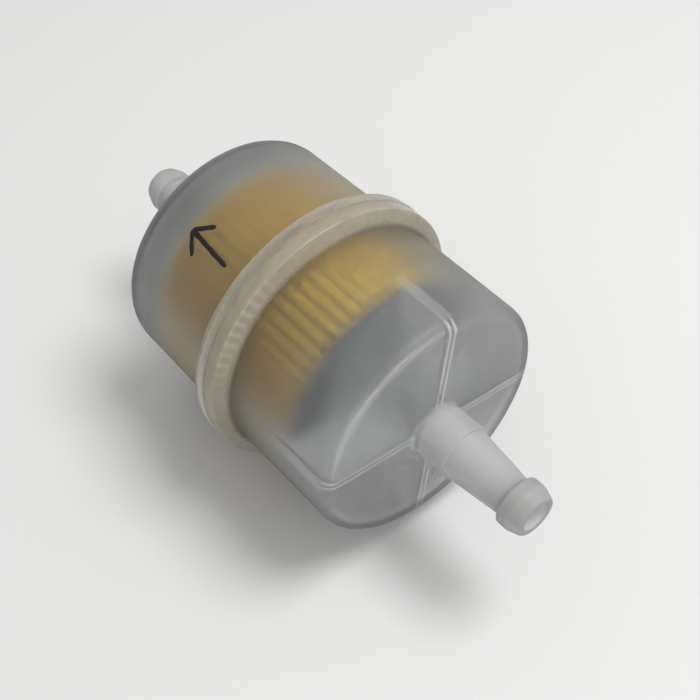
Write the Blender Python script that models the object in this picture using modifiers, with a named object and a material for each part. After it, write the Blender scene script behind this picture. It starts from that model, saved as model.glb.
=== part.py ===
"""In-line fuel filter for a small engine, in two welded moulded halves.

Frame: the filter's axis is X, with the inlet nipple at +X and the outlet nipple at -X.
The origin is on the axis, at the middle of the weld between the halves. +Z is up.
Each turned piece is drawn with its axis along local Z and then laid along X.
"""
import math

import bmesh
import bpy
from mathutils import Matrix, Vector

MM = 0.001

# Housing, in two halves that mirror each other apart from what is moulded inside
BODY_RADIUS = 20.0 * MM
END_RADIUS = 19.85 * MM          # the mould's draft takes a little off towards the end wall
HALF_LENGTH = 24.6 * MM          # weld plane to the outside of the end wall
WALL = 1.5 * MM
RIM_FILLET = 2.2 * MM
INNER_FILLET = 0.9 * MM
FLANGE_RADIUS = 22.35 * MM
FLANGE_HALF_WIDTH = 2.15 * MM
FLANGE_CHAMFER = 0.3 * MM
SHOULDER_END = 3.3 * MM          # where the flange's sloping shoulder meets the wall

# Barbed nipple for 6.35 mm bore fuel hose, measured from the end wall
BORE_RADIUS = 2.25 * MM
BASE_RADIUS = 4.35 * MM
BASE_LENGTH = 6.1 * MM
ROOT_FILLET = 0.7 * MM
STEM_RADIUS = 4.1 * MM
NECK_RADIUS = 3.05 * MM
NECK_AT = 15.6 * MM
BARB_RADIUS = 3.9 * MM
BARB_AT = 16.0 * MM
BARB_FLAT = 1.7 * MM
TIP_RADIUS = 3.3 * MM
NIPPLE_LENGTH = 19.8 * MM

# Clearance between pieces that touch on the real part
GAP = 0.3 * MM

# Weld bead between the two flanges
BEAD_INNER_RADIUS = 21.0 * MM
BEAD_RADIUS = 22.55 * MM
BEAD_HALF_WIDTH = 0.45 * MM

# Filter element: pleated paper between two discs, round a slotted core
ELEMENT_OUTLET_END = -18.0 * MM
ELEMENT_INLET_END = 15.0 * MM
DISC_THICKNESS = 0.9 * MM
DISC_RADIUS = 17.3 * MM
POTTING_THICKNESS = 0.6 * MM
PLEATS = 52
PLEAT_OUTER_RADIUS = 17.0 * MM
PLEAT_INNER_RADIUS = 9.6 * MM
PAPER_THICKNESS = 0.35 * MM
SEAM_PLEAT = 20
SEAM_DEPTH = 2.2 * MM
SEAM_THICKNESS = 0.3 * MM
CORE_RADIUS = 7.4 * MM
CORE_WALL = 1.0 * MM
CORE_ROWS = 4
CORE_SLOTS_PER_ROW = 6
CORE_SLOT_WIDTH = 3.0 * MM
CORE_SLOT_LENGTH = 4.6 * MM
LOCATOR_HEIGHT = 1.8 * MM

# Webs that hold the element off the inlet end wall
WEB_COUNT = 4
WEB_ANGLE = math.radians(84.0)   # of the first web, from +Y towards +Z
WEB_THICKNESS = 0.9 * MM
WEB_INNER_RADIUS = 3.1 * MM
WEB_TOE_AT = 12.6 * MM           # how far back along the side wall the webs run
WELD_IN = 0.4 * MM               # how deep a moulded-on rib starts inside the wall

# Outlet seat: the disc's collar goes into the housing's socket, over a seal ring
COLLAR_BORE = 4.0 * MM
COLLAR_RADIUS = 5.1 * MM
COLLAR_END = -21.6 * MM
SOCKET_BORE = 7.3 * MM
SOCKET_RADIUS = 8.5 * MM
SEAL_SECTION_RADIUS = 0.8 * MM
SEAL_AT = -20.2 * MM

HOUSING_STEPS = 48
SMALL_STEPS = 32
ALONG_X = (0.0, math.radians(90.0), 0.0)

for old in list(bpy.data.objects):
    bpy.data.objects.remove(old, do_unlink=True)

parts = bpy.data.collections.new("fuel_filter")
cutters = bpy.data.collections.new("cutters")
bpy.context.scene.collection.children.link(parts)
bpy.context.scene.collection.children.link(cutters)


def make_material(name, color, roughness, transmission=0.0):
    material = bpy.data.materials.new(name)
    material.use_nodes = True
    shader = material.node_tree.nodes["Principled BSDF"]
    shader.inputs["Base Color"].default_value = (*color, 1.0)
    shader.inputs["Roughness"].default_value = roughness
    shader.inputs["Metallic"].default_value = 0.0
    shader.inputs["Transmission Weight"].default_value = transmission
    material.diffuse_color = (*color, 1.0)
    return material


NATURAL_PLASTIC = make_material("natural_plastic", (0.50, 0.52, 0.52), 0.45, 0.4)
WELD_PLASTIC = make_material("weld_plastic", (0.62, 0.60, 0.55), 0.6, 0.2)
FILTER_PAPER = make_material("filter_paper", (0.62, 0.42, 0.13), 0.9)
ADHESIVE = make_material("adhesive", (0.55, 0.40, 0.16), 0.5)
DISC_PLASTIC = make_material("disc_plastic", (0.36, 0.38, 0.39), 0.5)
CORE_PLASTIC = make_material("core_plastic", (0.30, 0.30, 0.28), 0.5)
SEAL_RUBBER = make_material("seal_rubber", (0.03, 0.03, 0.03), 0.6)


def arc(center_radius, center_at, radius, start, end, steps):
    """Points (radius, station) of an arc, its angles in degrees from the outward direction."""
    points = []
    for i in range(steps + 1):
        angle = math.radians(start + (end - start) * i / steps)
        points.append((center_radius + radius * math.cos(angle), center_at + radius * math.sin(angle)))
    return points


def turn(name, profile, material, steps, flipped=False, closed=True):
    """A piece turned from a profile of (radius, station), drawn for the +X end.

    The profile is a closed loop, or it starts and ends on the axis.
    """
    mesh = bpy.data.meshes.new(name)
    outline = bmesh.new()
    verts = [outline.verts.new((radius, 0.0, station)) for radius, station in profile]
    for first, second in zip(verts[:-1], verts[1:]):
        outline.edges.new((first, second))
    if closed:
        outline.edges.new((verts[-1], verts[0]))
    outline.to_mesh(mesh)
    outline.free()
    piece = bpy.data.objects.new(name, mesh)
    parts.objects.link(piece)
    piece.rotation_euler = ALONG_X
    if flipped:
        piece.rotation_euler = (0.0, math.radians(-90.0), 0.0)
    screw = piece.modifiers.new("turn", "SCREW")
    screw.axis = "Z"
    screw.angle = math.radians(360.0)
    screw.steps = steps
    screw.render_steps = steps
    screw.use_merge_vertices = True
    screw.merge_threshold = 0.00001
    screw.use_smooth_shade = True
    piece.data.materials.append(material)
    return piece


def flat_outline(name, loops, thickness, collection):
    """A flat plate whose outline, and holes, are loops of (x, y); its thickness is along Z."""
    curve = bpy.data.curves.new(name, "CURVE")
    curve.dimensions = "2D"
    curve.fill_mode = "BOTH"
    curve.extrude = thickness / 2.0
    for loop in loops:
        spline = curve.splines.new("POLY")
        spline.points.add(len(loop) - 1)
        for point, (x, y) in zip(spline.points, loop):
            point.co = (x, y, 0.0, 1.0)
        spline.use_cyclic_u = True
    plate = bpy.data.objects.new(name, curve)
    collection.objects.link(plate)
    return plate


def curve_to_mesh(plate):
    """The same plate as a welded mesh object, which a Boolean can use."""
    bpy.context.view_layer.update()
    evaluated = plate.evaluated_get(bpy.context.evaluated_depsgraph_get())
    mesh = bpy.data.meshes.new_from_object(evaluated)
    welded = bmesh.new()
    welded.from_mesh(mesh)
    bmesh.ops.remove_doubles(welded, verts=welded.verts, dist=0.000001)
    bmesh.ops.recalc_face_normals(welded, faces=welded.faces)
    welded.to_mesh(mesh)
    welded.free()
    name = plate.name
    collection = plate.users_collection[0]
    matrix = plate.matrix_world.copy()
    bpy.data.objects.remove(plate, do_unlink=True)
    solid = bpy.data.objects.new(name, mesh)
    collection.objects.link(solid)
    solid.matrix_world = matrix
    return solid


def combine(piece, tool, operation):
    """Joins a helper solid to a piece, or cuts it out of it."""
    boolean = piece.modifiers.new(tool.name, "BOOLEAN")
    boolean.operation = operation
    boolean.solver = "EXACT"
    boolean.object = tool
    tool.hide_render = True
    tool.display_type = "WIRE"


def nipple_profile():
    """The outside of a nipple, from its bored tip down to the end wall."""
    tip = HALF_LENGTH + NIPPLE_LENGTH
    barb_top = HALF_LENGTH + BARB_AT + BARB_FLAT
    points = [(BORE_RADIUS, tip), (TIP_RADIUS - 0.4 * MM, tip)]
    points += [(TIP_RADIUS, tip - 0.3 * MM), (BARB_RADIUS - 0.15 * MM, barb_top + 0.35 * MM)]
    points += [(BARB_RADIUS, barb_top - 0.2 * MM), (BARB_RADIUS, HALF_LENGTH + BARB_AT + 0.25 * MM)]
    points += [(BARB_RADIUS - 0.25 * MM, HALF_LENGTH + BARB_AT)]
    points += [(NECK_RADIUS, HALF_LENGTH + NECK_AT), (STEM_RADIUS, HALF_LENGTH + BASE_LENGTH)]
    points += [(BASE_RADIUS, HALF_LENGTH + BASE_LENGTH - 0.1 * MM)]
    root = arc(BASE_RADIUS + ROOT_FILLET, HALF_LENGTH + ROOT_FILLET, ROOT_FILLET, 180, 270, 3)
    return points + root


def cup_profile():
    """The outside of the cup, from the end wall down to the face of the flange."""
    corner = FLANGE_RADIUS - FLANGE_CHAMFER
    points = arc(END_RADIUS - RIM_FILLET, HALF_LENGTH - RIM_FILLET, RIM_FILLET, 90, 0, 6)
    points += [(BODY_RADIUS, SHOULDER_END), (corner, FLANGE_HALF_WIDTH)]
    points += [(FLANGE_RADIUS, FLANGE_HALF_WIDTH - FLANGE_CHAMFER)]
    bead_seat = BEAD_HALF_WIDTH + GAP
    points += [(FLANGE_RADIUS, bead_seat), (BEAD_INNER_RADIUS - GAP, bead_seat)]
    points += [(BEAD_INNER_RADIUS - GAP, GAP / 2.0)]
    return points


def housing(name, socket, flipped):
    """One half of the housing: nipple, end wall, side wall and flange in one moulding."""
    inner_wall = BODY_RADIUS - WALL
    inner_end = HALF_LENGTH - WALL
    profile = nipple_profile() + cup_profile()
    profile += [(inner_wall, GAP / 2.0)]
    corner_radius = END_RADIUS - WALL - INNER_FILLET
    profile += arc(corner_radius, inner_end - INNER_FILLET, INNER_FILLET, 0, 90, 3)
    if socket:
        rim = -ELEMENT_OUTLET_END + GAP
        profile += [(SOCKET_RADIUS, inner_end), (SOCKET_RADIUS, rim), (SOCKET_BORE, rim)]
        profile += [(SOCKET_BORE, inner_end)]
    profile += [(BORE_RADIUS, inner_end)]
    return turn(name, profile, NATURAL_PLASTIC, HOUSING_STEPS, flipped)


def add_webs(piece):
    """Four webs inside the inlet end, whose toes run back along the side wall."""
    seat = ELEMENT_INLET_END + GAP
    buried_radius = BODY_RADIUS - WALL + WELD_IN
    buried_end = HALF_LENGTH - WALL + WELD_IN
    outline = [(WEB_INNER_RADIUS, seat), (DISC_RADIUS + GAP, seat), (BODY_RADIUS - WALL, WEB_TOE_AT)]
    outline += [(buried_radius, WEB_TOE_AT), (buried_radius, buried_end - INNER_FILLET)]
    outline += [(buried_radius - INNER_FILLET, buried_end), (WEB_INNER_RADIUS, buried_end)]
    for i in range(WEB_COUNT):
        web = flat_outline(f"inlet_web_{i + 1}", [outline], WEB_THICKNESS, cutters)
        angle = WEB_ANGLE + i * 2.0 * math.pi / WEB_COUNT
        outward = Vector((0.0, math.cos(angle), math.sin(angle)))
        along = Vector((1.0, 0.0, 0.0))
        across = outward.cross(along)
        web.matrix_world = Matrix((outward, along, across)).transposed().to_4x4()
        combine(piece, curve_to_mesh(web), "UNION")


def pleat_point(radius, angle):
    """A point of the pleated outline, in the curve's own plane."""
    return (radius * math.cos(angle), radius * math.sin(angle))


def filter_paper(start, end):
    """Paper folded into a star: both its skins, as an outline and a hole, drawn out along X."""
    pitch = 2.0 * math.pi / PLEATS
    tip = PAPER_THICKNESS / PLEAT_OUTER_RADIUS
    root = PAPER_THICKNESS / PLEAT_INNER_RADIUS
    outside = []
    inside = []
    for i in range(PLEATS):
        middle = i * pitch
        valley = middle + pitch / 2.0
        outside.append(pleat_point(PLEAT_OUTER_RADIUS, middle - tip))
        outside.append(pleat_point(PLEAT_OUTER_RADIUS, middle + tip))
        outside.append(pleat_point(PLEAT_INNER_RADIUS + PAPER_THICKNESS, valley))
        inside.append(pleat_point(PLEAT_OUTER_RADIUS - PAPER_THICKNESS, middle))
        inside.append(pleat_point(PLEAT_INNER_RADIUS, valley - root))
        inside.append(pleat_point(PLEAT_INNER_RADIUS, valley + root))
    paper = flat_outline("filter_paper", [outside, inside], end - start, parts)
    paper.rotation_euler = ALONG_X
    paper.location = ((start + end) / 2.0, 0.0, 0.0)
    paper.data.materials.append(FILTER_PAPER)


def side_seam(start, end):
    """The strip of adhesive that closes the paper into a ring, in one of its outer valleys."""
    bpy.ops.mesh.primitive_cube_add(size=1.0)
    seam = bpy.context.object
    seam.name = "side_seam"
    seam.data.name = "side_seam"
    size = Vector((end - start, SEAM_THICKNESS, SEAM_DEPTH))
    seam.data.transform(Matrix.Diagonal(size).to_4x4())
    angle = (SEAM_PLEAT + 0.5) * 2.0 * math.pi / PLEATS
    middle = PLEAT_OUTER_RADIUS - 0.1 * MM - SEAM_DEPTH / 2.0
    # local Z of the strip points outwards; the paper's outline starts at world -Z
    outward = Vector((0.0, math.sin(angle), -math.cos(angle)))
    along = Vector((1.0, 0.0, 0.0))
    across = outward.cross(along)
    turn_matrix = Matrix((along, across, outward)).transposed().to_4x4()
    place = Matrix.Translation(Vector(((start + end) / 2.0, 0.0, 0.0)) + outward * middle)
    seam.matrix_world = place @ turn_matrix
    seam.data.materials.append(ADHESIVE)
    for collection in list(seam.users_collection):
        collection.objects.unlink(seam)
    parts.objects.link(seam)


def ring(name, inner, outer, start, end, material, steps):
    """A plain turned ring of rectangular section."""
    profile = [(inner, end), (outer, end), (outer, start), (inner, start)]
    return turn(name, profile, material, steps)


def inlet_end_disc():
    """The closed disc, with a locating rim that sits inside the core."""
    outer_face = ELEMENT_INLET_END
    inner_face = ELEMENT_INLET_END - DISC_THICKNESS
    rim_radius = CORE_RADIUS - CORE_WALL - GAP
    rim_end = inner_face - LOCATOR_HEIGHT
    profile = [(0.0, outer_face), (DISC_RADIUS, outer_face), (DISC_RADIUS, inner_face)]
    profile += [(rim_radius, inner_face), (rim_radius, rim_end), (rim_radius - CORE_WALL, rim_end)]
    profile += [(rim_radius - CORE_WALL, inner_face), (0.0, inner_face)]
    turn("inlet_end_disc", profile, DISC_PLASTIC, SMALL_STEPS, closed=False)


def outlet_end_disc():
    """The open disc, with a collar that goes into the outlet housing's socket."""
    outer_face = ELEMENT_OUTLET_END
    inner_face = ELEMENT_OUTLET_END + DISC_THICKNESS
    profile = [(COLLAR_BORE, inner_face), (DISC_RADIUS, inner_face), (DISC_RADIUS, outer_face)]
    profile += [(COLLAR_RADIUS, outer_face), (COLLAR_RADIUS, COLLAR_END), (COLLAR_BORE, COLLAR_END)]
    turn("outlet_end_disc", profile, DISC_PLASTIC, SMALL_STEPS)


def core_tube(start, end):
    """The slotted tube that keeps the pleats from collapsing inwards."""
    core = ring("core_tube", CORE_RADIUS - CORE_WALL, CORE_RADIUS, start, end, CORE_PLASTIC, 24)
    mesh = bpy.data.meshes.new("core_slots")
    slots = bmesh.new()
    size = Matrix.Diagonal((CORE_WALL * 4.0, CORE_SLOT_WIDTH, CORE_SLOT_LENGTH, 1.0))
    spacing = (end - start) / CORE_ROWS
    for row in range(CORE_ROWS):
        station = start + (row + 0.5) * spacing
        for i in range(CORE_SLOTS_PER_ROW):
            spin = Matrix.Rotation(i * 2.0 * math.pi / CORE_SLOTS_PER_ROW, 4, "Z")
            shift = Matrix.Translation((CORE_RADIUS - CORE_WALL / 2.0, 0.0, station))
            bmesh.ops.create_cube(slots, size=1.0, matrix=spin @ shift @ size)
    slots.to_mesh(mesh)
    slots.free()
    cutter = bpy.data.objects.new("core_slots", mesh)
    cutters.objects.link(cutter)
    cutter.rotation_euler = ALONG_X
    combine(core, cutter, "DIFFERENCE")


def outlet_seal():
    """The rubber ring between the disc's collar and the socket."""
    middle = (COLLAR_RADIUS + SOCKET_BORE) / 2.0
    section = arc(middle, SEAL_AT, SEAL_SECTION_RADIUS, 90, -225, 7)
    turn("outlet_seal", section, SEAL_RUBBER, SMALL_STEPS)


add_webs(housing("inlet_housing", socket=False, flipped=False))
housing("outlet_housing", socket=True, flipped=True)
ring("weld_bead", BEAD_INNER_RADIUS, BEAD_RADIUS, -BEAD_HALF_WIDTH, BEAD_HALF_WIDTH,
     WELD_PLASTIC, HOUSING_STEPS)

inlet_bed = ELEMENT_INLET_END - DISC_THICKNESS - GAP
outlet_bed = ELEMENT_OUTLET_END + DISC_THICKNESS + GAP
paper_start = outlet_bed + POTTING_THICKNESS + GAP
paper_end = inlet_bed - POTTING_THICKNESS - GAP
ring("inlet_potting", CORE_RADIUS + GAP, PLEAT_OUTER_RADIUS, inlet_bed - POTTING_THICKNESS,
     inlet_bed, ADHESIVE, SMALL_STEPS)
ring("outlet_potting", CORE_RADIUS + GAP, PLEAT_OUTER_RADIUS, outlet_bed,
     outlet_bed + POTTING_THICKNESS, ADHESIVE, SMALL_STEPS)
filter_paper(paper_start, paper_end)
side_seam(paper_start + GAP, paper_end - GAP)
inlet_end_disc()
outlet_end_disc()
core_tube(outlet_bed, inlet_bed)
outlet_seal()
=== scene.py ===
"""Looks of the in-line fuel filter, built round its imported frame.

The axis is X, with the inlet nipple at +X. Sizes are in metres, and MM turns millimetres into them.
"""
import math

import bmesh
import bpy
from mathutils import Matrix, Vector, noise


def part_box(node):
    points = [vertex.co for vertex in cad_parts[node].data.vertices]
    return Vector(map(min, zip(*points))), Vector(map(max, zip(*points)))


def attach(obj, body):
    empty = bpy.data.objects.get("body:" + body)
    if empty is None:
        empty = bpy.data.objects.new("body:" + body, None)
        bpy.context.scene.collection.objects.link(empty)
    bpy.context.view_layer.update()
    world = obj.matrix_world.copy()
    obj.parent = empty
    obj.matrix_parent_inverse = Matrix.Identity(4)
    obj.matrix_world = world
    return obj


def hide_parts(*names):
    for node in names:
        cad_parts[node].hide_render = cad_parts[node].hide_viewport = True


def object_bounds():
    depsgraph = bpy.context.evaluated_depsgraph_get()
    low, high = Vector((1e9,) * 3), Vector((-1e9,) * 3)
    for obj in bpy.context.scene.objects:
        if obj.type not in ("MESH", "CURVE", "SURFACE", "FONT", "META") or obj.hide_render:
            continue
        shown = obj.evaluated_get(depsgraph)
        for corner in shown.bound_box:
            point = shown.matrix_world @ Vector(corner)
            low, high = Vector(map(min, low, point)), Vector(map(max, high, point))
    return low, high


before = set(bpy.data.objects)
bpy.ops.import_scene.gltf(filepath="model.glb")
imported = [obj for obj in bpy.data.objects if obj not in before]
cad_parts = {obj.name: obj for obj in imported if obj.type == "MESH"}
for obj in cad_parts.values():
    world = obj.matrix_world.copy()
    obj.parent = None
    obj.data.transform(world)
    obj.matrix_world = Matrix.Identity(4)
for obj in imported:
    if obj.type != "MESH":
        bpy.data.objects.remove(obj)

MM = 0.001
cad_low, cad_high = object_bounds()

# ---- sizes, from the frame where it gives them ----
inlet_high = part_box("inlet_housing")[1]
TIP_AT = inlet_high[0]
FLANGE_RADIUS = inlet_high[2]
NIPPLE_LENGTH = 19.8 * MM
END_AT = TIP_AT - NIPPLE_LENGTH
BODY_RADIUS = FLANGE_RADIUS - 2.35 * MM
END_RADIUS = BODY_RADIUS - 0.15 * MM
WALL = 1.5 * MM
INNER_RADIUS = BODY_RADIUS - WALL
INNER_END = END_AT - WALL
BORE_RADIUS = 2.25 * MM
FLANGE_HALF_WIDTH = 2.15 * MM
SHOULDER_END = 3.3 * MM
SLOPE_RADIUS = (BODY_RADIUS + FLANGE_RADIUS) / 2.0
TEETH = 80
TOOTH_DEPTH = 0.09 * MM
SEAM_GAP = 0.02 * MM
BEAD_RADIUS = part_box("weld_bead")[1][2]
FLASH_AT = -0.85 * MM
FLASH_HALF_WIDTH = 0.65 * MM
disc_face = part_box("inlet_end_disc")[1]
ELEMENT_INLET_END = disc_face[0]
DISC_RADIUS = disc_face[2]
SOCKET_RIM = -18.3 * MM
paper_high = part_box("filter_paper")[1]
PAPER_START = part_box("outlet_end_disc")[1][0] + 0.02 * MM
PAPER_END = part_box("inlet_potting")[1][0] - 0.3 * MM
PLEATS = 52
WEB_ANGLE = math.radians(84.0)
WEB_THICKNESS = 0.9 * MM
WEB_TOE_AT = 12.6 * MM

# ---- colours and finishes ----
PLASTIC_IOR = 1.32
FLANGE_ROUGHNESS = 0.21
MILKY_TRANSMISSION = 0.25
FLOOR_SHADE = 0.58
NIPPLE_COLOR = (0.61, 0.62, 0.62)
BARB_COLOR = (0.48, 0.485, 0.48)
FLANGE_LIGHT = (0.43, 0.395, 0.325)
FLANGE_DARK = (0.38, 0.345, 0.275)
RIM_COLOR = (0.56, 0.56, 0.55)
# colour of the painted highlights at the webs, the end wall's corner and the notches
HIGHLIGHT_COLOR = (0.74, 0.75, 0.75)
# colour of the painted highlight line round the inner corner
CORNER_HIGHLIGHT_COLOR = (0.90, 0.91, 0.91)
# painted shade colour between each web's highlight lines
WEB_SHADE_COLOR = (0.22, 0.23, 0.24)
# painted shade colour for one side of each housing wall
PAINTED_SHADE_COLOR = (0.24, 0.25, 0.25)
STAIN_COLOR = (0.58, 0.51, 0.37)
# painted shade colour for the outlet wall over its empty end chamber
EMPTY_END_SHADE_COLOR = (0.35, 0.36, 0.36)
PAPER_COLOR = (0.76, 0.505, 0.03)
PAPER_LIGHT = (0.82, 0.58, 0.055)
PAPER_PATCH = (0.74, 0.495, 0.037)
# painted shade colour for the paper's shaded side
PAPER_SHADE_COLOR = (0.27, 0.18, 0.03)
PAPER_WET_END = (0.24, 0.19, 0.09)
# the side round the axis that painted shade darkens, on the outlet wall and the paper
SHADED_SIDE = math.radians(190.0)
INLET_WALL = {
    "light": (0.66, 0.67, 0.68), "dark": (0.57, 0.58, 0.59), "transmission": 0.935, "roughness": 0.50,
    "rim": 0.03, "painted_shade_side": math.radians(10.0), "painted_shade": 0.56,
    "stain": 0.55, "stain_end": 9.0, "stain_soft": 4.0,
}
OUTLET_WALL = {
    "light": (0.64, 0.65, 0.65), "dark": (0.56, 0.57, 0.57), "transmission": 0.90, "roughness": 0.56,
    "rim": 0.30, "painted_shade_side": SHADED_SIDE, "painted_shade": 0.58,
    "stain": 0.9, "stain_end": 13.5, "stain_soft": 6.5,
}

# ---- helpers ----


def rounded(corners, steps=5):
    """A closed profile of (radius, station, fillet), with each corner turned into an arc."""
    points = []
    count = len(corners)
    for i, (radius, station, fillet) in enumerate(corners):
        here = Vector((radius, station))
        to_last = Vector(corners[i - 1][:2]) - here
        to_next = Vector(corners[(i + 1) % count][:2]) - here
        if fillet <= 0.0:
            points.append((radius, station))
            continue
        half = to_last.angle(to_next) / 2.0
        reach = min(fillet / math.tan(half), 0.48 * to_last.length, 0.48 * to_next.length)
        fillet = reach * math.tan(half)
        start = here + to_last.normalized() * reach
        middle = here + (to_last.normalized() + to_next.normalized()).normalized() * fillet / math.sin(half)
        spoke = start - middle
        sweep = (math.pi - 2.0 * half)
        turn = to_next.x * to_last.y - to_next.y * to_last.x
        sign = 1.0 if turn > 0 else -1.0
        for k in range(steps + 1):
            angle = sign * sweep * k / steps
            x = spoke.x * math.cos(angle) - spoke.y * math.sin(angle)
            y = spoke.x * math.sin(angle) + spoke.y * math.cos(angle)
            points.append((middle.x + x, middle.y + y))
    return points


def mesh_object(name, verts, faces):
    mesh = bpy.data.meshes.new(name)
    mesh.from_pydata([tuple(v) for v in verts], [], faces)
    obj = bpy.data.objects.new(name, mesh)
    bpy.context.scene.collection.objects.link(obj)
    return obj


def face_outwards(obj):
    work = bmesh.new()
    work.from_mesh(obj.data)
    bmesh.ops.recalc_face_normals(work, faces=work.faces)
    work.to_mesh(obj.data)
    work.free()


def shade(obj, angle=30.0):
    obj.data.shade_smooth()
    obj.data.set_sharp_from_angle(angle=math.radians(angle))


def turned(name, profile, segments, side=1.0, shape=None):
    """A piece turned round X from a closed profile; shape may move each (radius, station, angle)."""
    verts = []
    faces = []
    count = len(profile)
    for i in range(segments):
        angle = 2.0 * math.pi * i / segments
        for radius, station in profile:
            if shape:
                radius, station = shape(radius, station, angle)
            verts.append((side * station, radius * math.cos(angle), radius * math.sin(angle)))
        k = (i + 1) % segments
        for j in range(count):
            n = (j + 1) % count
            faces.append((i * count + j, k * count + j, k * count + n, i * count + n))
    obj = mesh_object(name, verts, faces)
    face_outwards(obj)
    return obj


def finish_piece(piece, node, slot_name, *replaced):
    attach(piece, "root")
    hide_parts(node, *replaced)


# ---- materials ----


def new_material(name):
    material = bpy.data.materials.new(name)
    material.use_nodes = True
    tree = material.node_tree
    return material, tree, tree.nodes["Principled BSDF"]


def add_noise(tree, scale, detail=3.0, stretch=(1.0, 1.0, 1.0)):
    """A noise texture in the object's own space, whose scale is in features per millimetre."""
    place = tree.nodes.new("ShaderNodeTexCoord")
    mapping = tree.nodes.new("ShaderNodeMapping")
    mapping.inputs["Scale"].default_value = [s * 1000.0 for s in stretch]
    texture = tree.nodes.new("ShaderNodeTexNoise")
    texture.inputs["Scale"].default_value = scale
    texture.inputs["Detail"].default_value = detail
    tree.links.new(place.outputs["Object"], mapping.inputs["Vector"])
    tree.links.new(mapping.outputs["Vector"], texture.inputs["Vector"])
    return texture.outputs["Fac"]


def remap(tree, value, low, high, start=0.0, end=1.0):
    node = tree.nodes.new("ShaderNodeMapRange")
    node.inputs["From Min"].default_value = start
    node.inputs["From Max"].default_value = end
    node.inputs["To Min"].default_value = low
    node.inputs["To Max"].default_value = high
    tree.links.new(value, node.inputs["Value"])
    return node.outputs["Result"]


def blend_colors(tree, factor, first, second):
    node = tree.nodes.new("ShaderNodeMix")
    node.data_type = "RGBA"
    for socket, value in ((node.inputs[6], first), (node.inputs[7], second)):
        if isinstance(value, tuple):
            socket.default_value = (*value, 1.0)
        else:
            tree.links.new(value, socket)
    tree.links.new(factor, node.inputs[0])
    return node.outputs[2]


def add_bump(tree, shader, height, distance, strength=1.0):
    bump = tree.nodes.new("ShaderNodeBump")
    bump.inputs["Strength"].default_value = strength
    bump.inputs["Distance"].default_value = distance
    tree.links.new(height, bump.inputs["Height"])
    tree.links.new(bump.outputs["Normal"], shader.inputs["Normal"])


def position_masks(tree):
    """How far a point is from the axis, and how far along it either way, in millimetres."""
    place = tree.nodes.new("ShaderNodeTexCoord")
    scaled = tree.nodes.new("ShaderNodeVectorMath")
    scaled.operation = "SCALE"
    scaled.inputs["Scale"].default_value = 1000.0
    split = tree.nodes.new("ShaderNodeSeparateXYZ")
    flat = tree.nodes.new("ShaderNodeCombineXYZ")
    length = tree.nodes.new("ShaderNodeVectorMath")
    length.operation = "LENGTH"
    along = tree.nodes.new("ShaderNodeMath")
    along.operation = "ABSOLUTE"
    tree.links.new(place.outputs["Object"], scaled.inputs[0])
    tree.links.new(scaled.outputs["Vector"], split.inputs[0])
    tree.links.new(split.outputs["Y"], flat.inputs["Y"])
    tree.links.new(split.outputs["Z"], flat.inputs["Z"])
    tree.links.new(flat.outputs["Vector"], length.inputs[0])
    tree.links.new(split.outputs["X"], along.inputs[0])
    return length.outputs["Value"], along.outputs["Value"]


def larger(tree, first, second):
    node = tree.nodes.new("ShaderNodeMath")
    node.operation = "MAXIMUM"
    tree.links.new(first, node.inputs[0])
    tree.links.new(second, node.inputs[1])
    return node.outputs["Value"]


def add_values(tree, first, second):
    node = tree.nodes.new("ShaderNodeMath")
    node.operation = "ADD"
    tree.links.new(first, node.inputs[0])
    tree.links.new(second, node.inputs[1])
    return node.outputs["Value"]


def times(tree, first, second):
    node = tree.nodes.new("ShaderNodeMath")
    node.operation = "MULTIPLY"
    tree.links.new(first, node.inputs[0])
    if isinstance(second, float):
        node.inputs[1].default_value = second
    else:
        tree.links.new(second, node.inputs[1])
    return node.outputs["Value"]


def along_axis(tree):
    """The station along the filter's axis, in millimetres."""
    place = tree.nodes.new("ShaderNodeTexCoord")
    split = tree.nodes.new("ShaderNodeSeparateXYZ")
    tree.links.new(place.outputs["Object"], split.inputs[0])
    return times(tree, split.outputs["X"], 1.0 / MM)


def band(tree, value, low, high, soft):
    """1 between two values, falling to 0 within a soft margin outside them."""
    rise = remap(tree, value, 0.0, 1.0, low - soft, low)
    fall = remap(tree, value, 1.0, 0.0, high, high + soft)
    return times(tree, rise, fall)


def facing(tree, angle, low, high):
    """How far a point lies towards one angle round the axis, from 0 to 1."""
    place = tree.nodes.new("ShaderNodeTexCoord")
    flat = tree.nodes.new("ShaderNodeVectorMath")
    flat.operation = "MULTIPLY"
    flat.inputs[1].default_value = (0.0, 1.0, 1.0)
    unit = tree.nodes.new("ShaderNodeVectorMath")
    unit.operation = "NORMALIZE"
    off = tree.nodes.new("ShaderNodeVectorMath")
    off.operation = "DOT_PRODUCT"
    off.inputs[1].default_value = (0.0, math.cos(angle), math.sin(angle))
    tree.links.new(place.outputs["Object"], flat.inputs[0])
    tree.links.new(flat.outputs["Vector"], unit.inputs[0])
    tree.links.new(unit.outputs["Vector"], off.inputs[0])
    return remap(tree, off.outputs["Value"], 0.0, 1.0, low, high)


def nipple_mask(tree, along):
    return remap(tree, along, 0.0, 1.0, END_AT / MM - 0.3, END_AT / MM + 1.5)


def flange_mask(tree, radius):
    return remap(tree, radius, 0.0, 1.0, BODY_RADIUS / MM + 0.05, BODY_RADIUS / MM + 0.9)


def rim_mask(tree, radius, along, amount):
    """The milky corner between the side wall and the end wall."""
    corner_sum = (END_RADIUS + END_AT) / MM
    corner = remap(tree, add_values(tree, radius, along), 0.0, amount, corner_sum - 2.0, corner_sum - 1.3)
    inside_end = remap(tree, along, 1.0, 0.0, END_AT / MM, END_AT / MM + 0.3)
    return times(tree, corner, inside_end)


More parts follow.
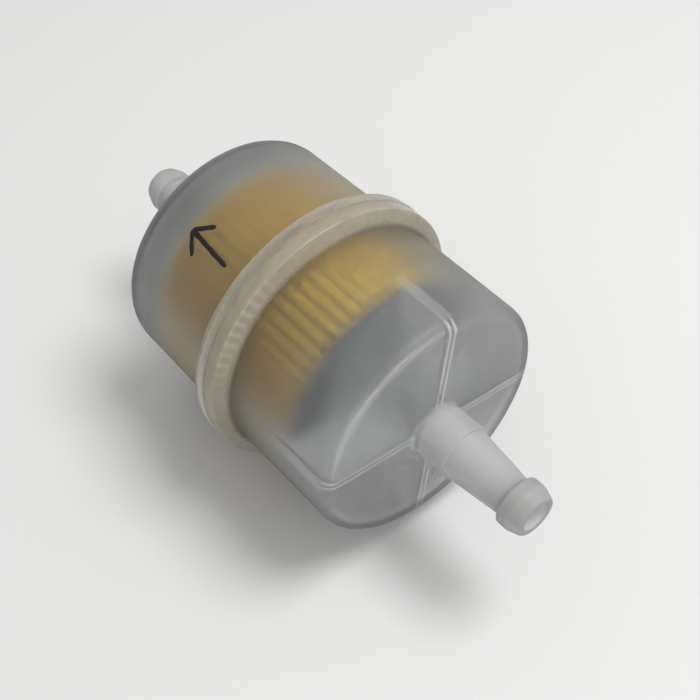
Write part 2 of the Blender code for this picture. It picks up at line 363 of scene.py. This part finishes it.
def painted_rim_highlight(tree, radius, along, start, width, back):
    """A painted highlight line round the end wall's corner, strongest between two webs."""
    line = band(tree, radius, start, start + width, 0.2)
    on_end = band(tree, along, END_AT / MM - back, END_AT / MM + 0.1, 0.2)
    side = facing(tree, WEB_ANGLE + math.pi / 4.0, 0.6, 0.9)
    return times(tree, times(tree, line, on_end), remap(tree, side, 0.08, 1.0))


def web_highlights_and_shade(tree, along):
    """Where the webs meet the wall: on the end wall, a painted highlight line along each side of a web with
    painted shade between them; on the side wall, broader painted light over each web.
    """
    place = tree.nodes.new("ShaderNodeTexCoord")
    nearest = None
    for angle in (WEB_ANGLE, WEB_ANGLE + math.pi / 2.0):
        off = tree.nodes.new("ShaderNodeVectorMath")
        off.operation = "DOT_PRODUCT"
        off.inputs[1].default_value = (0.0, -math.sin(angle) / MM, math.cos(angle) / MM)
        tree.links.new(place.outputs["Object"], off.inputs[0])
        size = tree.nodes.new("ShaderNodeMath")
        size.operation = "ABSOLUTE"
        tree.links.new(off.outputs["Value"], size.inputs[0])
        if nearest is None:
            nearest = size.outputs["Value"]
        else:
            least = tree.nodes.new("ShaderNodeMath")
            least.operation = "MINIMUM"
            tree.links.new(nearest, least.inputs[0])
            tree.links.new(size.outputs["Value"], least.inputs[1])
            nearest = least.outputs["Value"]
    half = WEB_THICKNESS / MM / 2.0
    station = along_axis(tree)
    toe = WEB_TOE_AT / MM
    end = END_AT / MM
    side_wall = times(tree, remap(tree, station, 0.0, 0.3, toe, toe + 4.0),
                      remap(tree, station, 1.0, 0.0, end - 2.0, end - 1.0))
    end_face = remap(tree, station, 0.0, 1.0, end - 2.0, end - 0.8)
    on_body = remap(tree, along, 1.0, 0.0, end + 0.1, end + 0.6)
    pair = times(tree, band(tree, nearest, half - 0.1, half + 0.1, 0.25), end_face)
    wide = times(tree, band(tree, nearest, -1.0, half + 0.2, 0.6), times(tree, side_wall, 1.4))
    edge = times(tree, larger(tree, pair, wide), on_body)
    between = remap(tree, nearest, 1.0, 0.0, half - 0.35, half - 0.1)
    core = times(tree, between, times(tree, end_face, on_body))
    return edge, core


def painted_notch_highlights(tree, radius, along):
    """A painted highlight streak in each notch of the flange's shoulder, clearest on the side with the
    arrow.
    """
    place = tree.nodes.new("ShaderNodeTexCoord")
    split = tree.nodes.new("ShaderNodeSeparateXYZ")
    tree.links.new(place.outputs["Object"], split.inputs[0])
    turn = tree.nodes.new("ShaderNodeMath")
    turn.operation = "ARCTAN2"
    tree.links.new(split.outputs["Z"], turn.inputs[0])
    tree.links.new(split.outputs["Y"], turn.inputs[1])
    wave = tree.nodes.new("ShaderNodeMath")
    wave.operation = "COSINE"
    tree.links.new(times(tree, turn.outputs["Value"], float(TEETH)), wave.inputs[0])
    streak = remap(tree, wave.outputs["Value"], 0.0, 0.25, -0.4, 0.9)
    low = FLANGE_HALF_WIDTH / MM
    on_slope = times(tree, band(tree, along, low - 0.1, low + 0.6, 0.3), flange_mask(tree, radius))
    side = remap(tree, facing(tree, math.radians(143.0), 0.9, 0.99), 0.12, 1.0)
    return times(tree, times(tree, streak, on_slope), side)


def housing_plastic(name, wall, webs):
    """Milky moulded plastic: part of the light scatters at the face, and the rest goes through.

    Thick places, such as the nipples, the flange and the rim, let less light through. Fuel has
    stained the wall round the paper, and one side of the wall is darkened with painted shade.
    The half with webs also has notches with painted highlights, painted highlight lines at the
    webs and round the end wall's corner, painted shade between each web's lines and a glossy
    flange; the other half has a darker empty end, painted shade for its empty chamber.
    """
    material, tree, shader = new_material(name)
    shader.inputs["IOR"].default_value = PLASTIC_IOR
    shader.inputs["Subsurface Weight"].default_value = 0.6
    shader.inputs["Subsurface Scale"].default_value = 1.5 * MM
    shader.inputs["Subsurface Radius"].default_value = (1.0, 1.0, 1.0)
    radius, along = position_masks(tree)
    cloud = add_noise(tree, 0.12, 4.0)
    fine = add_noise(tree, 2.5, 3.0)
    streaks = add_noise(tree, 0.5, 3.0, (2.0, 0.6, 0.6))
    nipple = nipple_mask(tree, along)
    flange = flange_mask(tree, radius)
    rim = rim_mask(tree, radius, along, wall["rim"])
    color = blend_colors(tree, remap(tree, cloud, 0.0, 1.0, 0.35, 0.65), wall["dark"], wall["light"])
    # painted shade: the wall darker towards one side round the axis
    side = remap(tree, facing(tree, wall["painted_shade_side"], 0.0, 1.0), 0.0, 1.0, 0.4, 1.0)
    color = blend_colors(tree, times(tree, side, wall["painted_shade"]), color, PAINTED_SHADE_COLOR)
    stained = band(tree, along, 3.0, wall["stain_end"], wall["stain_soft"])
    color = blend_colors(tree, times(tree, stained, wall["stain"]), color, STAIN_COLOR)
    if not webs:
        # painted shade: the outlet wall darker over its empty end chamber
        empty = remap(tree, along, 0.0, 0.85, 15.0, 20.0)
        color = blend_colors(tree, empty, color, EMPTY_END_SHADE_COLOR)
    barb = remap(tree, along, 0.0, 1.0, END_AT / MM + 12.0, END_AT / MM + 17.0)
    color = blend_colors(tree, nipple, color, blend_colors(tree, barb, NIPPLE_COLOR, BARB_COLOR))
    beige = blend_colors(tree, remap(tree, streaks, 0.0, 1.0, 0.4, 0.65), FLANGE_DARK, FLANGE_LIGHT)
    color = blend_colors(tree, flange, color, beige)
    if webs:
        # painted highlights in the shoulder's notches
        color = blend_colors(tree, painted_notch_highlights(tree, radius, along), color, HIGHLIGHT_COLOR)
    color = blend_colors(tree, rim, color, RIM_COLOR)
    milky = larger(tree, times(tree, nipple, 0.48), times(tree, flange, 0.75))
    milky = larger(tree, milky, rim)
    rough = wall["roughness"]
    roughness = remap(tree, fine, rough - 0.04, rough + 0.04, 0.3, 0.7)
    if webs:
        # painted highlights: lines at the webs and round the end wall's corner
        line = painted_rim_highlight(tree, radius, along, END_RADIUS / MM - 1.25, 0.1, 1.2)
        edge, core = web_highlights_and_shade(tree, along)
        bright = larger(tree, times(tree, edge, 0.75), times(tree, line, 0.3))
        color = blend_colors(tree, bright, color, HIGHLIGHT_COLOR)
        # painted shade between each web's highlight lines on the end wall
        color = blend_colors(tree, times(tree, core, 0.15), color, WEB_SHADE_COLOR)
        milky = larger(tree, milky, times(tree, bright, 0.6))
        roughness = add_values(tree, roughness, times(tree, flange, FLANGE_ROUGHNESS - rough))
    tree.links.new(color, shader.inputs["Base Color"])
    milky_part = remap(tree, milky, wall["transmission"], MILKY_TRANSMISSION)
    tree.links.new(milky_part, shader.inputs["Transmission Weight"])
    tree.links.new(roughness, shader.inputs["Roughness"])
    add_bump(tree, shader, fine, 0.015 * MM)
    return material


def plastic(name, light, dark, transmission, rough, bump=0.02, corner=False):
    """The same plastic where it is one thickness all over; corner adds a painted highlight line in the
    inner corner.
    """
    material, tree, shader = new_material(name)
    shader.inputs["IOR"].default_value = PLASTIC_IOR
    shader.inputs["Transmission Weight"].default_value = transmission
    shader.inputs["Specular IOR Level"].default_value = 0.25
    cloud = add_noise(tree, 0.12, 4.0)
    fine = add_noise(tree, 2.5, 3.0)
    color = blend_colors(tree, remap(tree, cloud, 0.0, 1.0, 0.35, 0.65), dark, light)
    if corner:
        radius, along = position_masks(tree)
        # painted highlight line round the inner corner
        line = painted_rim_highlight(tree, radius, along, INNER_RADIUS / MM - 1.0, 0.2, 2.4)
        color = blend_colors(tree, line, color, CORNER_HIGHLIGHT_COLOR)
        tree.links.new(remap(tree, line, transmission, 0.3), shader.inputs["Transmission Weight"])
    tree.links.new(color, shader.inputs["Base Color"])
    tree.links.new(remap(tree, fine, rough - 0.06, rough + 0.06, 0.3, 0.7), shader.inputs["Roughness"])
    add_bump(tree, shader, fine, bump * MM)
    return material


inlet_plastic = housing_plastic("frosted_plastic", INLET_WALL, True)
outlet_plastic = housing_plastic("frosted_plastic_outlet", OUTLET_WALL, False)
inlet_inside = plastic("inlet_inner_face", (0.84, 0.84, 0.83), (0.80, 0.80, 0.79), 0.97, 0.25, corner=True)
web_plastic = plastic("web_plastic", (0.86, 0.87, 0.87), (0.82, 0.83, 0.83), 0.45, 0.4)
outlet_inside = plastic("outlet_inner_face", (0.74, 0.74, 0.73), (0.68, 0.68, 0.67), 0.97, 0.25)
bore_plastic = plastic("bore_plastic", (0.68, 0.69, 0.68), (0.60, 0.61, 0.60), 0.4, 0.35)
flash = plastic("weld_flash", (0.36, 0.33, 0.27), (0.27, 0.245, 0.20), 0.45, 0.62, 0.03)


def paper_material():
    """Yellow ochre paper, with painted shade darkening one side, and darker where adhesive has wetted its
    inlet end.
    """
    material, tree, shader = new_material("filter_paper")
    shader.inputs["Specular IOR Level"].default_value = 0.25
    fibre = add_noise(tree, 1.2, 5.0, (0.4, 1.0, 1.0))
    patch = add_noise(tree, 0.1, 3.0)
    warm = blend_colors(tree, remap(tree, fibre, 0.0, 1.0, 0.3, 0.7), PAPER_COLOR, PAPER_LIGHT)
    color = blend_colors(tree, remap(tree, patch, 0.0, 0.5, 0.4, 0.7), warm, PAPER_PATCH)
    # painted shade: the paper darker towards one side round the axis
    paper_shade = facing(tree, SHADED_SIDE, 0.0, 1.0)
    color = blend_colors(tree, times(tree, paper_shade, 0.65), color, PAPER_SHADE_COLOR)
    wet = remap(tree, along_axis(tree), 0.0, 0.75, PAPER_END / MM - 2.2, PAPER_END / MM)
    color = blend_colors(tree, wet, color, PAPER_WET_END)
    tree.links.new(color, shader.inputs["Base Color"])
    tree.links.new(remap(tree, fibre, 0.8, 0.95), shader.inputs["Roughness"])
    add_bump(tree, shader, fibre, 0.05 * MM)
    return material


def plain_material(name, light, dark, rough, scale=0.8, bump=0.02):
    material, tree, shader = new_material(name)
    grain = add_noise(tree, scale, 4.0)
    color = blend_colors(tree, remap(tree, grain, 0.0, 1.0, 0.3, 0.7), dark, light)
    tree.links.new(color, shader.inputs["Base Color"])
    tree.links.new(remap(tree, grain, rough - 0.08, rough + 0.08), shader.inputs["Roughness"])
    add_bump(tree, shader, grain, bump * MM)
    return material


def disc_material(name, edge):
    """The element's end disc, with painted shade darkening it towards its edge, less so towards one web;
    its outermost rim takes the edge colour.
    """
    material, tree, shader = new_material(name)
    radius = position_masks(tree)[0]
    grain = add_noise(tree, 0.8, 4.0)
    grey = remap(tree, grain, 0.0, 1.0, 0.3, 0.7)
    light = blend_colors(tree, grey, (0.34, 0.35, 0.36), (0.40, 0.41, 0.42))
    near_web = facing(tree, WEB_ANGLE + math.radians(16.0), 0.0, 1.0)
    # painted shade: the disc darkened towards its edge, less so towards one web
    chamber_shade = times(tree, remap(tree, radius, 0.0, 1.0, 9.0, 16.0), remap(tree, near_web, 1.0, 0.3, 0.8, 1.0))
    color = blend_colors(tree, chamber_shade, light, (0.06, 0.07, 0.08))
    color = blend_colors(tree, remap(tree, radius, 0.0, 1.0, 17.0, 17.2), color, edge)
    tree.links.new(color, shader.inputs["Base Color"])
    tree.links.new(remap(tree, grain, 0.42, 0.58), shader.inputs["Roughness"])
    add_bump(tree, shader, grain, 0.02 * MM)
    return material


# ---- housings ----


def housing_profile(socket):
    neck_at = END_AT + 15.6 * MM
    barb_at = END_AT + 16.05 * MM
    corners = [
        (BORE_RADIUS, TIP_AT, 0.2 * MM),
        (3.2 * MM, TIP_AT, 0.45 * MM),
        (3.9 * MM, TIP_AT - 2.0 * MM, 1.2 * MM),
        (3.9 * MM, barb_at, 0.35 * MM),
        (3.05 * MM, neck_at, 0.5 * MM),
        (4.1 * MM, END_AT + 6.1 * MM, 0.1 * MM),
        (4.35 * MM, END_AT + 6.1 * MM, 0.12 * MM),
        (4.35 * MM, END_AT, 0.7 * MM),
        (END_RADIUS, END_AT, 2.2 * MM),
        (BODY_RADIUS, SHOULDER_END, 0.35 * MM),
        (SLOPE_RADIUS, (SHOULDER_END + FLANGE_HALF_WIDTH) / 2.0, 0.0),
        (FLANGE_RADIUS, FLANGE_HALF_WIDTH, 0.28 * MM),
        (FLANGE_RADIUS, SEAM_GAP, 0.05 * MM),
        (INNER_RADIUS, SEAM_GAP, 0.0),
        (END_RADIUS - WALL, INNER_END, 0.9 * MM),
    ]
    if socket:
        rim = -SOCKET_RIM
        corners += [
            (8.5 * MM, INNER_END, 0.3 * MM),
            (8.5 * MM, rim, 0.2 * MM),
            (7.3 * MM, rim, 0.2 * MM),
            (7.3 * MM, INNER_END, 0.2 * MM),
        ]
    corners += [(BORE_RADIUS, INNER_END, 0.3 * MM)]
    return rounded(corners)


def drive_teeth(radius, station, angle):
    """Shallow rounded notches round the flange's sloping shoulder."""
    if abs(radius - SLOPE_RADIUS) < 0.2 * MM and FLANGE_HALF_WIDTH < station < SHOULDER_END:
        notch = TOOTH_DEPTH * (0.5 - 0.5 * math.cos(angle * TEETH))
        return radius - notch, station - notch / 2.0
    return radius, station


def web_mesh(index):
    """One web, as an upright plate in its own radial plane."""
    buried = 0.4 * MM
    seat = ELEMENT_INLET_END + 0.3 * MM
    wall = INNER_RADIUS + buried
    outline = [
        (3.1 * MM, seat), (DISC_RADIUS + 0.3 * MM, seat), (INNER_RADIUS - 0.1 * MM, WEB_TOE_AT),
        (wall, WEB_TOE_AT), (wall, INNER_END - 0.9 * MM), (wall - 0.9 * MM, INNER_END + buried),
        (3.1 * MM, INNER_END + buried),
    ]
    angle = WEB_ANGLE + index * math.pi / 2.0
    outward = Vector((0.0, math.cos(angle), math.sin(angle)))
    across = Vector((1.0, 0.0, 0.0)).cross(outward)
    verts = []
    for half in (-0.5, 0.5):
        for radius, station in outline:
            verts.append(Vector((station, 0.0, 0.0)) + outward * radius + across * half * WEB_THICKNESS)
    count = len(outline)
    faces = [tuple(range(count)), tuple(range(2 * count - 1, count - 1, -1))]
    for j in range(count):
        n = (j + 1) % count
        faces.append((j, n, n + count, j + count))
    web = mesh_object(f"web_{index + 1}", verts, faces)
    face_outwards(web)
    return web


def join_solids(piece, tools):
    for tool in tools:
        boolean = piece.modifiers.new(tool.name, "BOOLEAN")
        boolean.operation = "UNION"
        boolean.solver = "EXACT"
        boolean.object = tool
    bpy.context.view_layer.update()
    evaluated = piece.evaluated_get(bpy.context.evaluated_depsgraph_get())
    mesh = bpy.data.meshes.new_from_object(evaluated)
    piece.modifiers.clear()
    piece.data = mesh
    for tool in tools:
        bpy.data.objects.remove(tool, do_unlink=True)


def assign_faces(piece, outside, inside, webs, bore):
    """Gives the chamber side of a housing, its webs and its bore their own finish."""
    piece.data.materials.clear()
    for material in (outside, inside, webs, bore):
        piece.data.materials.append(material)
    for face in piece.data.polygons:
        station = abs(face.center.x)
        radius = math.hypot(face.center.y, face.center.z)
        in_chamber = station < INNER_END + 0.1 * MM and radius < BODY_RADIUS - 0.5 * WALL
        face.material_index = 1 if in_chamber else 0
        if radius < BORE_RADIUS + 0.05 * MM and station < TIP_AT - 0.6 * MM:
            face.material_index = 3
        radial = Vector((0.0, face.center.y, face.center.z)).normalized()
        if in_chamber and abs(face.normal.x) < 0.05 and abs(face.normal.dot(radial)) < 0.2:
            face.material_index = 2


inlet = turned("inlet_housing_shell", housing_profile(False), 4 * TEETH, 1.0, drive_teeth)
join_solids(inlet, [web_mesh(i) for i in range(4)])
assign_faces(inlet, inlet_plastic, inlet_inside, web_plastic, bore_plastic)
shade(inlet)
finish_piece(inlet, "inlet_housing", "natural_plastic")

outlet = turned("outlet_housing_shell", housing_profile(True), 160, -1.0)
assign_faces(outlet, outlet_plastic, outlet_inside, web_plastic, bore_plastic)
shade(outlet)
finish_piece(outlet, "outlet_housing", "natural_plastic")


def ragged(radius, station, angle):
    """Flash smeared over the outlet side of the joint, uneven all the way round."""
    around = Vector((math.cos(angle), math.sin(angle), 0.0))
    edge = noise.noise(around * 9.0 + Vector((0.0, 0.0, 2.0 if station > FLASH_AT else 8.0)))
    lump = noise.noise(around * 30.0 + Vector((5.0, 0.0, station * 1200.0)))
    if radius > FLANGE_RADIUS:
        radius = min(radius + 0.05 * MM * lump, BEAD_RADIUS)
    return radius, station + 0.22 * MM * edge


flash_profile = rounded([
    (FLANGE_RADIUS - 0.1 * MM, FLASH_AT + FLASH_HALF_WIDTH, 0.0),
    (FLANGE_RADIUS + 0.07 * MM, FLASH_AT + FLASH_HALF_WIDTH, 0.1 * MM),
    (FLANGE_RADIUS + 0.12 * MM, FLASH_AT, 0.4 * MM),
    (FLANGE_RADIUS + 0.07 * MM, FLASH_AT - FLASH_HALF_WIDTH, 0.1 * MM),
    (FLANGE_RADIUS - 0.1 * MM, FLASH_AT - FLASH_HALF_WIDTH, 0.0),
], 3)
ring = turned("weld_flash_ring", flash_profile, 360, 1.0, ragged)
ring.data.materials.append(flash)
shade(ring, 50.0)
finish_piece(ring, "weld_bead", "weld_plastic")

# ---- pleated paper ----


def pleated_paper():
    """Paper folded into a star, with round folds, each pleat leaning a little on its own."""
    outer = paper_high[2] - 0.05 * MM
    inner = 9.6 * MM
    thick = 0.3 * MM
    per_fold = 4
    rows = 8
    pitch = 2.0 * math.pi / PLEATS
    crown = outer - thick / 2.0 - 0.2 * MM
    centre = []
    for i in range(PLEATS):
        lean = 0.06 * noise.noise(Vector((i * 3.7, 1.3, 0.0)))
        depth = 0.06 * MM * noise.noise(Vector((i * 2.9, 7.1, 0.0)))
        for k in range(per_fold):
            swing = (k / (per_fold - 1) - 0.5) * 0.70
            radius = crown - swing * swing * 3.4 * MM + depth
            centre.append(((i + lean + swing) * pitch, radius))
        for k in range(per_fold):
            swing = (k / (per_fold - 1) - 0.5) * 0.36
            radius = inner + thick / 2.0 + abs(swing) * 0.9 * MM
            centre.append(((i + 0.5 + lean * 0.4 + swing) * pitch, radius))
    verts = []
    for row in range(rows + 1):
        share = row / rows
        x = PAPER_START + (PAPER_END - PAPER_START) * share
        for j, (angle, radius) in enumerate(centre):
            drift = 0.010 * pitch * noise.noise(Vector((angle * 4.0, share * 2.5, 3.0)))
            verts.append((x, radius * math.cos(angle + drift), radius * math.sin(angle + drift)))
    count = len(centre)
    faces = []
    for row in range(rows):
        for j in range(count):
            n = (j + 1) % count
            faces.append((row * count + j, row * count + n, (row + 1) * count + n, (row + 1) * count + j))
    paper = mesh_object("pleated_paper", verts, faces)
    solid = paper.modifiers.new("thickness", "SOLIDIFY")
    solid.thickness = thick
    solid.offset = 0.0
    solid.use_even_offset = False
    return paper


paper = pleated_paper()
paper.data.materials.append(paper_material())
shade(paper, 60.0)
finish_piece(paper, "filter_paper", "filter_paper")

# ---- marker ink ----


def ink_stroke(points, half_width, seed):
    """One hand-drawn stroke on the outlet half, from (station, angle) points, lifted off the wall."""
    lift = 0.03 * MM
    verts = []
    for i, (station, angle) in enumerate(points):
        before = points[max(i - 1, 0)]
        after = points[min(i + 1, len(points) - 1)]
        run = Vector((after[0] - before[0], (after[1] - before[1]) * BODY_RADIUS)).normalized()
        wobble = 0.10 * MM * noise.noise(Vector((i * 0.35, seed, 0.0)))
        width = half_width * (1.0 + 0.25 * noise.noise(Vector((i * 0.5, seed, 4.0))))
        share = i / (len(points) - 1)
        width *= min(1.0, 0.55 + 6.0 * min(share, 1.0 - share))
        for side in (-1.0, 0.0, 1.0):
            x = station - run.y * (side * width + wobble)
            turn = angle + run.x * (side * width + wobble) / BODY_RADIUS
            taper = (END_AT - abs(x)) / (END_AT - SHOULDER_END)
            radius = END_RADIUS + (BODY_RADIUS - END_RADIUS) * taper + lift
            verts.append((x, radius * math.cos(turn), radius * math.sin(turn)))
    faces = []
    for i in range(len(points) - 1):
        for k in range(2):
            faces.append((3 * i + k, 3 * i + k + 1, 3 * i + k + 4, 3 * i + k + 3))
    return verts, faces


def straight(start, end, count):
    return [tuple(Vector(start).lerp(Vector(end), i / (count - 1))) for i in range(count)]


def flow_arrow():
    """An arrow along the axis, pointing from the inlet towards the outlet."""
    tip = (-15.6 * MM, math.radians(126.0))
    strokes = [
        straight((-6.6 * MM, math.radians(128.0)), tip, 14),
        straight((-12.6 * MM, math.radians(118.5)), tip, 9),
        straight((-12.9 * MM, math.radians(134.5)), tip, 9),
    ]
    verts = []
    faces = []
    for i, points in enumerate(strokes):
        more, skin = ink_stroke(points, 0.38 * MM, 3.0 + 5.0 * i)
        faces += [tuple(v + len(verts) for v in face) for face in skin]
        verts += more
    arrow = mesh_object("marker_arrow", verts, faces)
    face_outwards(arrow)
    solid = arrow.modifiers.new("thickness", "SOLIDIFY")
    solid.thickness = 0.02 * MM
    return arrow


arrow = flow_arrow()
ink = plain_material("marker_ink", (0.014, 0.013, 0.012), (0.006, 0.006, 0.006), 0.55, 3.0)
ink.node_tree.nodes["Principled BSDF"].inputs["Specular IOR Level"].default_value = 0.2
arrow.data.materials.append(ink)
shade(arrow)
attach(arrow, "root")

# ---- CAD pieces that stay, with their own finish ----
adhesive = plain_material("amber_adhesive", (0.86, 0.56, 0.07), (0.76, 0.47, 0.05), 0.6)
dark_adhesive = plain_material("dark_adhesive", (0.46, 0.33, 0.09), (0.36, 0.26, 0.07), 0.6)
inlet_disc = disc_material("inlet_disc_plastic", (0.13, 0.14, 0.15))
outlet_disc = disc_material("outlet_disc_plastic", (0.72, 0.47, 0.08))
core_plastic = plain_material("core_plastic", (0.32, 0.32, 0.30), (0.24, 0.24, 0.22), 0.5)
rubber = plain_material("seal_rubber", (0.03, 0.03, 0.03), (0.018, 0.018, 0.018), 0.65)
for node, material in (
    ("side_seam", adhesive), ("inlet_potting", dark_adhesive), ("outlet_potting", adhesive),
    ("inlet_end_disc", inlet_disc), ("outlet_end_disc", outlet_disc),
    ("core_tube", core_plastic), ("outlet_seal", rubber),
):
    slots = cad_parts[node].material_slots
    for slot in slots:
        slot.material = material

# ---- floor, light and camera ----
bpy.ops.mesh.primitive_plane_add(size=3.0, location=(0.0, 0.0, cad_low[2] - 0.05 * MM))
floor = bpy.context.object
floor.name = "floor"
floor_material, tree, shader = new_material("pale_floor")
shader.inputs["Base Color"].default_value = (FLOOR_SHADE, FLOOR_SHADE, FLOOR_SHADE, 1.0)
shader.inputs["Roughness"].default_value = 0.9
floor.data.materials.append(floor_material)


def studio_world(low, high, toward):
    """Soft light all round, stronger from one side; the camera sees it as plain and pale."""
    world = bpy.data.worlds.new("studio")
    world.use_nodes = True
    tree = world.node_tree
    backdrop = tree.nodes["Background"]
    place = tree.nodes.new("ShaderNodeTexCoord")
    side = tree.nodes.new("ShaderNodeVectorMath")
    side.operation = "DOT_PRODUCT"
    side.inputs[1].default_value = Vector(toward).normalized()
    strength = remap(tree, side.outputs["Value"], low, high, -0.6, 1.0)
    path = tree.nodes.new("ShaderNodeLightPath")
    seen = tree.nodes.new("ShaderNodeMix")
    seen.inputs[3].default_value = 0.85
    tree.links.new(place.outputs["Generated"], side.inputs[0])
    tree.links.new(path.outputs["Is Camera Ray"], seen.inputs[0])
    tree.links.new(strength, seen.inputs[2])
    tree.links.new(seen.outputs[0], backdrop.inputs["Strength"])
    backdrop.inputs["Color"].default_value = (1.0, 0.995, 0.975, 1.0)
    bpy.context.scene.world = world


studio_world(0.46, 0.84, (0.45, 0.05, 0.85))


def add_light(name, place, target, size, power):
    data = bpy.data.lights.new(name, "AREA")
    data.shape = "DISK"
    data.size = size
    data.energy = power
    lamp = bpy.data.objects.new(name, data)
    lamp.location = place
    lamp.rotation_euler = (Vector(target) - Vector(place)).to_track_quat("-Z", "Y").to_euler()
    bpy.context.scene.collection.objects.link(lamp)


add_light("key", (0.14, 0.15, 0.49), (0.0, 0.0, 0.0), 0.26, 2.3)
add_light("fill", (0.28, -0.30, 0.03), (0.0, 0.0, -0.01), 0.16, 0.35)

CAMERA_PLACE = Vector((0.09171, -0.0714, 0.12445))
VIEW_DIRECTION = Vector((-0.5139, 0.4275, -0.7438))
camera_data = bpy.data.cameras.new("camera")
camera_data.sensor_width = 36.0
camera_data.lens = 57.4
camera_data.clip_start = 0.005
camera = bpy.data.objects.new("camera", camera_data)
camera.location = CAMERA_PLACE
camera.rotation_euler = VIEW_DIRECTION.to_track_quat("-Z", "Y").to_euler()
bpy.context.scene.collection.objects.link(camera)
bpy.context.scene.camera = camera
bpy.context.scene.view_settings.view_transform = "Standard"
